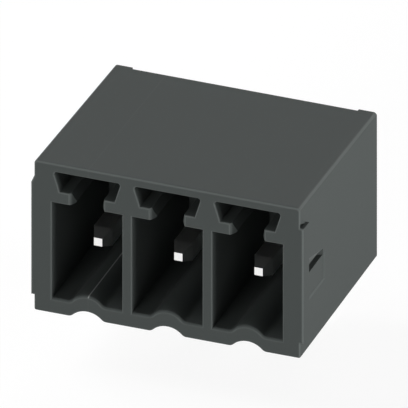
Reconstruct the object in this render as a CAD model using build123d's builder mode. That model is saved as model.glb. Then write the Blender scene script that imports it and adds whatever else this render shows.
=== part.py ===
"""Right-angle pin header with a shrouded row of poles, for a printed circuit board.

Frame, in millimetres: X runs along the row of poles, the open mating face looks towards -Y,
and +Z is up. The origin is on the board's surface, at the centre of the middle solder tail.
"""
import os
from math import atan, degrees, sin

from build123d import *

os.makedirs("parts", exist_ok=True)

# Row of poles
pole_count = 3
pole_pitch = 3.5

# Housing envelope
housing_depth = 9.1
solder_row_depth = 8.0  # from the mating face back to the row of solder tails
front_height = 7.0
top_fall = 0.26  # the top is this much lower at the back
side_lean = 0.09  # each side is this much further in at the back
end_wall = 0.78  # at the mating face

# Chambers that take the plug
chamber_width = 3.06
chamber_depth = 6.6
floor_thickness = 0.7
ridge_half_width = 0.84
ridge_height = 0.37
ridge_foot_radius = 0.3

# Keying grooves above the chambers, heights measured down from the top of the mating face
key_ceiling_drop = 0.4
key_ceiling_width = 2.92
key_floor_width = 2.39
ledge_top_drop = 1.29
ledge_bottom_drop = 1.83
key_corner_radius = 0.1
key_slot_width = 1.1  # between the lower edges of the ledges
key_slot_top_width = 1.44
ledge_edge_radius = 0.06
lead_in_width = 1.56  # width of the key slot at its mouth
lead_in_depth = 0.42

# Troughs in the underside, one under each chamber
trough_half_width = 0.83
trough_height = 0.34
trough_shoulder_radius = 0.3

# Guide ribs at the front of both sides
rib_height = 0.14  # proud of the side at the mating face
rib_length = 0.65
rib_bottom = 0.7
rib_top_drop = 1.07
rib_ramp_height = 0.335

# Catch pocket in each side, deepest along its sill, and the sunk panel below the sill
pocket_front = 1.0
pocket_length = 1.72
pocket_sill_height = 3.45
pocket_front_height = 0.72
pocket_rear_height = 0.3
pocket_depth = 0.25
pocket_bottom_length = 1.6
pocket_bottom_height = 0.03
panel_length = 1.95
panel_bottom_height = 2.2
panel_depth = 0.045
panel_border_angle = 60

# Nick above the right-hand rib, lower towards the back
nick_length = 0.5
nick_bottom_drop = 0.92
nick_height = 0.2
nick_mouth_depth = 0.01
nick_depth = 0.13
nick_slope_length = 0.35

# Rounded edges of the moulding
top_side_radius = 0.15
outline_radius = 0.1
bottom_edge_radius = 0.08
chamber_edge_radius = 0.08
floor_lip_radius = 0.14
largest_rounding = 0.45  # of the thickness of the wall between two chambers

# Back of the housing
cheek_width = 0.79
cheek_stand_out = 0.13
tail_slot_width = 1.1
tail_slot_headroom = 0.25
tail_slot_clearance = 0.35  # in front of the tail

# Contact pins
pin_size = 0.8
pin_axis_height = 2.94
pin_tip_setback = 1.31  # behind the mating face
pin_tip_size = 0.36
pin_taper_length = 0.6
pin_bend_inner_radius = 0.3
tail_length = 2.6  # below the board's surface
tail_tip_size = 0.5
tail_taper_length = 0.5

# Places worked out from the sizes above
front_y = -solder_row_depth
back_y = front_y + housing_depth
chamber_end_y = front_y + chamber_depth
chamber_wall = pole_pitch - chamber_width
mouth_radius = min(chamber_edge_radius, largest_rounding * chamber_wall)
half_width_front = (pole_count - 1) * pole_pitch / 2 + chamber_width / 2 + end_wall
half_width_back = half_width_front - side_lean
back_height = front_height - top_fall
tail_slot_front_y = -pin_size / 2 - tail_slot_clearance
pole_x = [(pole - (pole_count - 1) / 2) * pole_pitch for pole in range(pole_count)]
floor_lip_top = floor_thickness + ridge_height + floor_lip_radius
mating_face = Plane.XZ.offset(-front_y)

# The right side leans in towards the back: sketches on it have X back along it and Y upwards
side_back = Vector(-side_lean, housing_depth, 0).normalized()
side_out = Vector(housing_depth, side_lean, 0).normalized()
right_side = Plane(origin=(half_width_front, front_y, 0), x_dir=side_back, z_dir=side_out)


def wave(left, level, half_width, height, foot_radius):
    """Three tangent arcs that swell up from a level line and come back down to it."""
    steepest = 2 * atan(height / half_width)
    crest_radius = half_width / sin(steepest) - foot_radius
    turn = degrees(steepest)
    rise = JernArc((left, level), (1, 0), foot_radius, turn)
    crest = JernArc(rise @ 1, rise % 1, crest_radius, -2 * turn)
    return JernArc(crest @ 1, crest % 1, foot_radius, turn)


# Cross-section of one chamber: a box with a wave in its floor
with BuildSketch() as chamber_section:
    with BuildLine():
        wall = chamber_width / 2
        roof = front_height - ledge_bottom_drop
        Line((-wall, floor_thickness), (-ridge_half_width, floor_thickness))
        wave(-ridge_half_width, floor_thickness, ridge_half_width, ridge_height, ridge_foot_radius)
        Polyline(
            (ridge_half_width, floor_thickness),
            (wall, floor_thickness),
            (wall, roof),
            (-wall, roof),
            (-wall, floor_thickness),
        )
    make_face()

# Cross-section of one keying groove: a dovetail above a slot between two ledges
with BuildSketch() as key_section:
    ceiling = front_height - key_ceiling_drop
    ledge_top = front_height - ledge_top_drop
    ledge_bottom = front_height - ledge_bottom_drop
    Polygon(
        (-key_slot_width / 2, ledge_bottom),
        (key_slot_width / 2, ledge_bottom),
        (key_slot_top_width / 2, ledge_top),
        (key_floor_width / 2, ledge_top),
        (key_ceiling_width / 2, ceiling),
        (-key_ceiling_width / 2, ceiling),
        (-key_floor_width / 2, ledge_top),
        (-key_slot_top_width / 2, ledge_top),
        align=None,
    )
    fillet(key_section.vertices().group_by(Axis.Y)[-1], key_corner_radius)

# Cross-section of one trough in the underside
with BuildSketch() as trough_section:
    with BuildLine():
        wave(-trough_half_width, 0, trough_half_width, trough_height, trough_shoulder_radius)
        Line((trough_half_width, 0), (-trough_half_width, 0))
    make_face()

# Moulded housing
with BuildPart() as housing:
    # Block that narrows towards the back, under a top that falls towards the back
    with BuildSketch():
        Polygon(
            (-half_width_front, front_y),
            (half_width_front, front_y),
            (half_width_back, back_y),
            (-half_width_back, back_y),
            align=None,
        )
    extrude(amount=front_height)
    with BuildSketch(Plane.YZ):
        Polygon(
            (front_y, 0),
            (back_y, 0),
            (back_y, back_height),
            (front_y, front_height),
            align=None,
        )
    extrude(amount=half_width_front, both=True, mode=Mode.INTERSECT)

    # Guide ribs: the left one has a ramp at the top, and the right one ends at the nick
    for side, top_drop, ramp_height in ((-1, rib_top_drop, rib_ramp_height), (1, nick_bottom_drop, 0)):
        rib_root = half_width_front - rib_height
        rib_face = half_width_front + rib_height
        ramp_foot = front_height - top_drop
        ramp_slope = ramp_height / rib_height
        with BuildSketch(mating_face):
            Polygon(
                (side * rib_root, rib_bottom),
                (side * rib_face, rib_bottom),
                (side * rib_face, ramp_foot),
                (side * rib_root, ramp_foot + ramp_slope * (rib_face - rib_root)),
                align=None,
            )
        extrude(amount=-rib_length)

    # Rounded long edges of the top, then the rounded outline of the mating face
    top_sides = housing.faces().sort_by(Axis.Z)[-1].edges().filter_by(Axis.X, reverse=True)
    fillet(top_sides, top_side_radius)
    outline = housing.faces().sort_by(Axis.Y)[0].outer_wire().edges()
    fillet(outline.filter_by(lambda edge: edge.center().Z > outline_radius), outline_radius)

    # Back face set in between two cheeks
    with BuildSketch():
        with Locations((0, back_y)):
            Rectangle(2 * (half_width_back - cheek_width), cheek_stand_out, align=(Align.CENTER, Align.MAX))
    extrude(amount=front_height, mode=Mode.SUBTRACT)

    # Troughs in the underside
    with BuildSketch(mating_face):
        with GridLocations(pole_pitch, 1, pole_count, 1):
            add(trough_section.sketch)
    extrude(amount=-chamber_depth, mode=Mode.SUBTRACT)
    underside_outline = housing.faces().sort_by(Axis.Y)[0].outer_wire().edges()
    fillet(underside_outline.filter_by(lambda edge: edge.center().Z < rib_bottom / 2), bottom_edge_radius)

    # Chambers and the keying grooves above them
    with BuildSketch(mating_face):
        with GridLocations(pole_pitch, 1, pole_count, 1):
            add(chamber_section.sketch)
            add(key_section.sketch)
    extrude(amount=-chamber_depth, mode=Mode.SUBTRACT)

    # Lead-ins that narrow the mouth of each key slot down to the slot
    with BuildSketch(Plane.XY.offset(front_height - ledge_bottom_drop)):
        with Locations(*[(x, front_y) for x in pole_x]):
            Polygon(
                (-lead_in_width / 2, 0),
                (lead_in_width / 2, 0),
                (key_slot_width / 2, lead_in_depth),
                (-key_slot_width / 2, lead_in_depth),
                align=None,
            )
    extrude(amount=ledge_bottom_drop - ledge_top_drop, mode=Mode.SUBTRACT)

    # Rounded lower edges of the ledges, along each key slot behind its lead-ins
    ledge_edges = housing.edges().filter_by(Axis.Y).filter_by_position(Axis.Z, ledge_bottom, ledge_bottom)
    fillet(
        ledge_edges.filter_by(lambda edge: min(abs(edge.center().X - x) for x in pole_x) < lead_in_width / 2),
        ledge_edge_radius,
    )

    # Rounded edges at the mouth of each chamber, wider along its floor
    mouths = housing.faces().sort_by(Axis.Y)[0].inner_wires().edges()
    fillet(mouths.filter_by(lambda edge: edge.center().Z < floor_lip_top), floor_lip_radius)
    mouths = housing.faces().sort_by(Axis.Y)[0].inner_wires().edges()
    fillet(mouths.filter_by(lambda edge: edge.center().Z > floor_lip_top), mouth_radius)

    # Ceiling of the keying grooves, which falls with the top so that the top wall stays even
    with BuildSketch(Plane.YZ):
        ceiling_fall = top_fall * chamber_depth / housing_depth
        Polygon(
            (front_y + mouth_radius, ceiling),
            (chamber_end_y, ceiling - ceiling_fall),
            (chamber_end_y, ceiling),
            align=None,
        )
    extrude(amount=pole_x[-1] + chamber_width / 2, both=True)

    # Catch pocket in each side, and the sunk panel with sloped borders below its sill
    for depth, length, at_front, at_rear in (
        (0, pocket_length, pocket_front_height, pocket_rear_height),
        (pocket_depth, pocket_bottom_length, pocket_bottom_height, pocket_bottom_height),
    ):
        with BuildSketch(right_side.offset(-depth)):
            with Locations((pocket_front, pocket_sill_height)):
                Polygon((0, 0), (length, 0), (length, at_rear), (0, at_front), align=None)
    pocket = loft(ruled=True, mode=Mode.PRIVATE)
    with BuildSketch(right_side):
        with Locations((pocket_front, panel_bottom_height)):
            panel_height = pocket_sill_height + panel_depth - panel_bottom_height
            Rectangle(panel_length, panel_height, align=Align.MIN)
    panel = extrude(amount=-panel_depth, taper=panel_border_angle, mode=Mode.PRIVATE)
    for hollow in (pocket, panel):
        add(hollow, mode=Mode.SUBTRACT)
        mirror(hollow, about=Plane.YZ, mode=Mode.SUBTRACT)

    # Nick above the right-hand rib, shallow at the mating face and deeper behind it
    nick_floor = front_height - nick_bottom_drop
    with BuildSketch(Plane.XY.offset(nick_floor)):
        Polygon(
            (half_width_front - nick_mouth_depth, front_y),
            (half_width_front + rib_height, front_y),
            (half_width_front + rib_height, front_y + nick_length),
            (half_width_front - nick_depth, front_y + nick_length),
            (half_width_front - nick_depth, front_y + nick_slope_length),
            align=None,
        )
    nick_plan = extrude(amount=nick_height, mode=Mode.PRIVATE)
    with BuildSketch(Plane.YZ.offset(half_width_front - nick_depth)):
        Polygon(
            (front_y, nick_floor),
            (front_y + nick_length, nick_floor),
            (front_y, nick_floor + nick_height),
            align=None,
        )
    nick_side = extrude(amount=nick_depth + rib_height, mode=Mode.PRIVATE)
    add(nick_plan & nick_side, mode=Mode.SUBTRACT)

    # Slots for the solder tails, open to the back and to the board, and the holes for the pins
    with BuildSketch():
        with Locations(*[(x, tail_slot_front_y) for x in pole_x]):
            Rectangle(tail_slot_width, back_y - tail_slot_front_y, align=(Align.CENTER, Align.MIN))
    extrude(amount=pin_axis_height + pin_size / 2 + tail_slot_headroom, mode=Mode.SUBTRACT)
    with BuildSketch(Plane.XZ.offset(-chamber_end_y)):
        with Locations(*[(x, pin_axis_height) for x in pole_x]):
            Rectangle(pin_size, pin_size)
    extrude(amount=chamber_end_y - tail_slot_front_y, mode=Mode.SUBTRACT)

housing.part.label = "housing"
export_step(housing.part, "parts/housing.step")


# Square pins, pressed in from the back and bent down to the board
def taper_angle(tip_size, taper_length):
    """Slope of each of the four faces that narrow a pin down to its tip, in degrees."""
    return degrees(atan((pin_size - tip_size) / 2 / taper_length))


for number, x in enumerate(pole_x, start=1):
    with BuildPart() as pin:
        contact_start_y = front_y + pin_tip_setback + pin_taper_length
        tail_end_z = tail_taper_length - tail_length
        with BuildLine(Plane.YZ.offset(x)):
            route = FilletPolyline(
                (contact_start_y, pin_axis_height),
                (0, pin_axis_height),
                (0, tail_end_z),
                radius=pin_bend_inner_radius + pin_size / 2,
            )
        with BuildSketch(Plane(origin=route @ 0, z_dir=route % 0)):
            Rectangle(pin_size, pin_size)
        sweep()
        with BuildSketch(Plane(origin=route @ 0, z_dir=-(route % 0))):
            Rectangle(pin_size, pin_size)
        extrude(amount=pin_taper_length, taper=taper_angle(pin_tip_size, pin_taper_length))
        with BuildSketch(Plane(origin=route @ 1, z_dir=route % 1)):
            Rectangle(pin_size, pin_size)
        extrude(amount=tail_taper_length, taper=taper_angle(tail_tip_size, tail_taper_length))
    pin.part.label = f"pin_{number}"
    export_step(pin.part, f"parts/pin_{number}.step")
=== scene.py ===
import math

import bpy
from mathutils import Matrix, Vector


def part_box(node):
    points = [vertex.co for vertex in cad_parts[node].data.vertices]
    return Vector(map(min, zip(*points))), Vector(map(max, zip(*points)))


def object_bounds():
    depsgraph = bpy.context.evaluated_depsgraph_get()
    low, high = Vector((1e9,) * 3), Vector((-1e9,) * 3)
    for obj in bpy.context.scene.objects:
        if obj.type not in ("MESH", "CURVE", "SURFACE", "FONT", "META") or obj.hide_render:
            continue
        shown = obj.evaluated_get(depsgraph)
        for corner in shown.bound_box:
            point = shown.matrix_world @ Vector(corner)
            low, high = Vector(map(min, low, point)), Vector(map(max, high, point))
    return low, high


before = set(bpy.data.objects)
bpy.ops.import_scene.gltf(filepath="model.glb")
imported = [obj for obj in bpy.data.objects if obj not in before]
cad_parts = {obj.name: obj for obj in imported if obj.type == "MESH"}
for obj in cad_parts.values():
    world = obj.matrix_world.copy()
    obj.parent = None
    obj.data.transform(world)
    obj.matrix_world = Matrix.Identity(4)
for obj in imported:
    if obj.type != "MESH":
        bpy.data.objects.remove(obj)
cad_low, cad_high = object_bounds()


# The housing: one injection moulding in dark grey plastic, with a chamber and a
# keying groove for each pole. The mould leaves a fine matte grain and, between
# two inserts, a witness line. The rounded outer edges carry a painted highlight,
# a colour lighter than the plastic.

millimetre = 0.001

plastic_colour = (0.060, 0.0675, 0.0655, 1)
plastic_darker_patch = (0.058, 0.0652, 0.0633, 1)
plastic_roughness = (0.50, 0.58)
plastic_sheen_level = 0.04
grain_size = 0.07 * millimetre
grain_octaves = 2.0
grain_height = 0.0012 * millimetre
flow_patch_size = 2.5 * millimetre
flow_patch_octaves = 3.0

# Painted highlight: the rounded edges round the mating face and on both sides get this lighter colour.
edge_highlight_colour = (0.096, 0.106, 0.103, 1)
edge_highlight_squareness = (0.985, 0.88)  # how squarely it faces one way, where the painted highlight starts and is full
edge_highlight_reach = (0.08 * millimetre, 0.16 * millimetre)  # behind the mating face, full and at its end
edge_highlight_side_depth = 0.42 * millimetre
floor_lip_turns = (0.30, 0.55)  # how far a chamber floor's lip faces up, where the painted highlight fades and ends
floor_lip_height = 1.3 * millimetre

witness_line_offset = 0.06 * millimetre
witness_line_half_width = 0.024 * millimetre
witness_line_colour = (0.26, 0.27, 0.265, 1)
ridge_line_strength = 0.9
face_line_strength = 0.03
ridge_crest_height = 1.2 * millimetre
ridge_line_start = 0.02 * millimetre  # behind the mating face


def feed(tree, node, sockets):
    """Links each of those input sockets to an output, or sets it to a plain value."""
    for socket, value in sockets.items():
        if isinstance(value, bpy.types.NodeSocket):
            tree.links.new(value, node.inputs[socket])
        else:
            node.inputs[socket].default_value = value


def add(tree, kind, sockets=None, **properties):
    """A new node of that kind, with its properties set and its input sockets fed."""
    node = tree.nodes.new(kind)
    for name, value in properties.items():
        setattr(node, name, value)
    feed(tree, node, sockets or {})
    return node


def reckon(tree, operation, *numbers):
    """The result of a Math node, from sockets or plain numbers."""
    return add(tree, "ShaderNodeMath", dict(enumerate(numbers)), operation=operation).outputs[0]


def rise(tree, value, start, end):
    """How far the value has come on its way from start to end, from 0 to 1."""
    return add(tree, "ShaderNodeMapRange", {"Value": value, "From Min": start, "From Max": end}).outputs[0]


def between(tree, share, first, second):
    """The number that lies that share of the way from the first to the second."""
    return add(tree, "ShaderNodeMapRange", {"Value": share, "To Min": first, "To Max": second}).outputs[0]


def blend(tree, share, first, second, kind="RGBA"):
    """The colour, or the vector, that lies that share of the way from the first to the second."""
    share_in = 0
    first_in, second_in, result_out = {"RGBA": (6, 7, 2), "VECTOR": (4, 5, 1)}[kind]
    mix = add(tree, "ShaderNodeMix", {share_in: share, first_in: first, second_in: second}, data_type=kind)
    return mix.outputs[result_out]


def noise(tree, place, size, octaves):
    """A cloudy pattern from 0 to 1, with forms of that size."""
    clouds = add(tree, "ShaderNodeTexNoise", {"Vector": place, "Scale": 1 / size, "Detail": octaves})
    return clouds.outputs["Fac"]


def relief(tree, pattern, height):
    """The surface's direction where that pattern stands proud by up to that height."""
    return add(tree, "ShaderNodeBump", {"Height": pattern, "Distance": height}).outputs[0]


def new_finish(name):
    """A new material, with its node tree, its shader and the socket of the place on the object."""
    material = bpy.data.materials.new(name)
    material.use_nodes = True
    tree = material.node_tree
    shader = tree.nodes["Principled BSDF"]
    place = add(tree, "ShaderNodeTexCoord").outputs["Object"]
    return material, tree, shader, place


def on_painted_highlight_edges(tree, right, back, up, face_y, side_x):
    """Where the edge highlight is painted: 1 on the rounded and sloped edges round the mating face and on
    both sides, and 0 elsewhere.
    """
    direction = add(tree, "ShaderNodeTexCoord").outputs["Normal"]
    facing = add(tree, "ShaderNodeSeparateXYZ", {0: direction})
    across, along, upright = (reckon(tree, "ABSOLUTE", share) for share in facing.outputs)
    squareness = reckon(tree, "MAXIMUM", reckon(tree, "MAXIMUM", across, along), upright)
    rounded = rise(tree, squareness, *edge_highlight_squareness)

    low_down = reckon(tree, "LESS_THAN", up, floor_lip_height)
    lip_top = rise(tree, facing.outputs["Z"], *floor_lip_turns)
    off_lip_top = reckon(tree, "SUBTRACT", 1, reckon(tree, "MULTIPLY", low_down, lip_top))
    nearest, furthest = edge_highlight_reach
    near_face = rise(tree, back, face_y + furthest, face_y + nearest)
    on_side = reckon(tree, "GREATER_THAN", reckon(tree, "ABSOLUTE", right), side_x - edge_highlight_side_depth)
    at_edge = reckon(tree, "MAXIMUM", reckon(tree, "MULTIPLY", near_face, off_lip_top), on_side)
    return reckon(tree, "MULTIPLY", rounded, at_edge)


def on_witness_line(tree, right, back, up, line_x, face_y):
    """How strongly the inserts' witness line shows: most on the ridge, and hardly on the outer faces."""
    distance = reckon(tree, "ABSOLUTE", reckon(tree, "SUBTRACT", right, line_x))
    on_line = reckon(tree, "LESS_THAN", distance, witness_line_half_width)
    behind_face = reckon(tree, "GREATER_THAN", back, face_y + ridge_line_start)
    on_ridge = reckon(tree, "MULTIPLY", behind_face, reckon(tree, "LESS_THAN", up, ridge_crest_height))
    strength = between(tree, on_ridge, face_line_strength, ridge_line_strength)
    return reckon(tree, "MULTIPLY", on_line, strength)


def moulded_plastic(line_x, face_y, side_x):
    """Dark matte plastic with a fine grain, faint flow patches, a painted highlight on its rounded edges
    and the witness line.
    """
    material, tree, shader, place = new_finish("moulded_plastic")
    right, back, up = add(tree, "ShaderNodeSeparateXYZ", {0: place}).outputs

    flow_patches = noise(tree, place, flow_patch_size, flow_patch_octaves)
    colour = blend(tree, flow_patches, plastic_colour, plastic_darker_patch)
    # Painted highlight: the colour is lightened on the rounded edges.
    painted_highlight = on_painted_highlight_edges(tree, right, back, up, face_y, side_x)
    colour = blend(tree, painted_highlight, colour, edge_highlight_colour)
    line = on_witness_line(tree, right, back, up, line_x, face_y)
    colour = blend(tree, line, colour, witness_line_colour)

    grain = noise(tree, place, grain_size, grain_octaves)
    feed(tree, shader, {"Base Color": colour,
                        "Roughness": between(tree, grain, *plastic_roughness),
                        "Normal": relief(tree, grain, grain_height),
                        "Specular IOR Level": plastic_sheen_level})
    return material


def dress(piece, material):
    """Gives the piece that one finish."""
    piece.data.materials.clear()
    piece.data.materials.append(material)


first_pin_low, first_pin_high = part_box("pin_1")
first_pole_x = (first_pin_low[0] + first_pin_high[0]) / 2
housing_low, housing_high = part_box("housing")
housing_finish = moulded_plastic(line_x=first_pole_x + witness_line_offset,
                                 face_y=housing_low[1], side_x=housing_high[0])
dress(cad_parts["housing"], housing_finish)


# The contact pins: square wire of a copper alloy, plated with bright tin, with
# their tips pressed to a taper. Each is bent down and pushed through the back
# wall from behind, so its drawn lines run forwards first and then down the tail.

tin_colour = (0.865, 0.865, 0.855, 1)
tin_duller_patch = (0.79, 0.79, 0.78, 1)
tin_roughness = (0.26, 0.36)
tin_patch_size = 0.5 * millimetre
tin_patch_octaves = 4.0
drawn_line_width = 0.05 * millimetre
drawn_line_octaves = 2.0
drawn_line_stretch = 0.04
drawn_line_height = 0.0008 * millimetre
bend_height = 2.3 * millimetre


def bright_tin():
    """Tin plating, clouded a little, over lines that run along the drawn wire."""
    material, tree, shader, place = new_finish("bright_tin")
    clouds = noise(tree, place, tin_patch_size, tin_patch_octaves)

    height = add(tree, "ShaderNodeSeparateXYZ", {0: place}).outputs["Z"]
    in_tail = reckon(tree, "LESS_THAN", height, bend_height)
    forward = add(tree, "ShaderNodeMapping", {"Vector": place, "Scale": (1, drawn_line_stretch, 1)})
    down = add(tree, "ShaderNodeMapping", {"Vector": place, "Scale": (1, 1, drawn_line_stretch)})
    along_wire = blend(tree, in_tail, forward.outputs[0], down.outputs[0], kind="VECTOR")
    drawn_lines = noise(tree, along_wire, drawn_line_width, drawn_line_octaves)

    feed(tree, shader, {"Base Color": blend(tree, clouds, tin_colour, tin_duller_patch),
                        "Roughness": between(tree, clouds, *tin_roughness),
                        "Normal": relief(tree, drawn_lines, drawn_line_height),
                        "Metallic": 1})
    return material


pin_finish = bright_tin()
for name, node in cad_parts.items():
    if name.startswith("pin_"):
        dress(node, pin_finish)


# The studio: a white floor at the tips of the solder tails, which keeps the
# part's soft shadow, and a white surround that only the camera, gloss and clear
# materials see. Neither belongs to the part.

floor_half_width = 400 * millimetre
floor_colour = (0.80, 0.80, 0.80, 1)
floor_shadow_share = (0.16, 0.16, 0.16, 1)
floor_glow = 0.88
surround_colour = (1, 1, 1, 1)
surround_glow = 1.0
surround_light = 0.1


def seen_directly(tree):
    """1 for rays from the camera, from gloss and through clear materials, and 0 for the rest."""
    path = add(tree, "ShaderNodeLightPath").outputs
    camera_or_gloss = reckon(tree, "MAXIMUM", path["Is Camera Ray"], path["Is Glossy Ray"])
    return reckon(tree, "MAXIMUM", camera_or_gloss, path["Is Transmission Ray"])


def white_floor():
    """Matte white to the light. To the camera and gloss it glows white, with a faint soft shadow."""
    material = bpy.data.materials.new("white_floor")
    material.use_nodes = True
    tree = material.node_tree
    tree.nodes.clear()
    lit = add(tree, "ShaderNodeBsdfDiffuse", {"Color": floor_colour})
    shadow = add(tree, "ShaderNodeBsdfDiffuse", {"Color": floor_shadow_share})
    glow = add(tree, "ShaderNodeEmission", {"Strength": floor_glow})
    looked_at = add(tree, "ShaderNodeAddShader", {0: shadow.outputs[0], 1: glow.outputs[0]})
    either = add(tree, "ShaderNodeMixShader", {0: seen_directly(tree), 1: lit.outputs[0],
                                               2: looked_at.outputs[0]})
    add(tree, "ShaderNodeOutputMaterial", {"Surface": either.outputs[0]})
    return material


corners = [(x * floor_half_width, y * floor_half_width, cad_low.z)
           for x, y in ((-1, -1), (1, -1), (1, 1), (-1, 1))]
floor_mesh = bpy.data.meshes.new("floor")
floor_mesh.from_pydata(corners, [], [(0, 1, 2, 3)])
floor_mesh.materials.append(white_floor())
floor = bpy.data.objects.new("floor", floor_mesh)
bpy.context.scene.collection.objects.link(floor)

world = bpy.data.worlds.new("surround")
world.use_nodes = True
bpy.context.scene.world = world
sky = world.node_tree
feed(sky, sky.nodes["Background"], {
    "Color": surround_colour,
    "Strength": between(sky, seen_directly(sky), surround_light, surround_glow)})


# The lamps: four distant softboxes. The right and front ones stand low, so they
# reach the faces but leave the chambers deep. The left one stands high and
# lights the top, and the back one keeps the rear of the part readable.

def softbox(name, azimuth, elevation, strength, width):
    """A soft lamp that shines on the part from that azimuth, right of the front, and elevation."""
    lamp = bpy.data.lights.new(name, "SUN")
    lamp.energy = strength
    lamp.angle = math.radians(width)
    holder = bpy.data.objects.new(name, lamp)
    right, up = math.radians(azimuth), math.radians(elevation)
    towards_lamp = Vector((math.sin(right) * math.cos(up), -math.cos(right) * math.cos(up), math.sin(up)))
    holder.rotation_mode = "QUATERNION"
    holder.rotation_quaternion = towards_lamp.to_track_quat("Z", "Y")
    bpy.context.scene.collection.objects.link(holder)


softbox("right_lamp", azimuth=90, elevation=5, strength=3.26, width=20)
softbox("front_lamp", azimuth=-10, elevation=8, strength=2.30, width=30)
softbox("left_lamp", azimuth=-90, elevation=45, strength=1.58, width=40)
softbox("back_lamp", azimuth=180, elevation=10, strength=1.88, width=30)


# The camera: a parallel view, a little to the right of the mating face and from
# above, as in the photograph.

view_azimuth = math.radians(20.70)
view_elevation = math.radians(29.23)
photo_side_px = 408
photo_px_per_mm = 24.51
aim_right = -1.3173 * millimetre
aim_up = 1.6667 * millimetre
camera_distance = 100 * millimetre
nearest_seen = 1 * millimetre
furthest_seen = 1000 * millimetre

to_right = Vector((math.cos(view_azimuth), math.sin(view_azimuth), 0))
to_camera = Vector((math.sin(view_azimuth) * math.cos(view_elevation),
                    -math.cos(view_azimuth) * math.cos(view_elevation),
                    math.sin(view_elevation)))
upwards = to_camera.cross(to_right)

camera = bpy.data.objects.new("camera", bpy.data.cameras.new("camera"))
camera.data.type = "ORTHO"
camera.data.ortho_scale = photo_side_px / photo_px_per_mm * millimetre
camera.data.clip_start = nearest_seen
camera.data.clip_end = furthest_seen
camera.location = to_right * aim_right + upwards * aim_up + to_camera * camera_distance
camera.rotation_mode = "QUATERNION"
camera.rotation_quaternion = to_camera.to_track_quat("Z", "Y")
bpy.context.scene.collection.objects.link(camera)
bpy.context.scene.camera = camera
bpy.context.scene.view_settings.view_transform = "Standard"
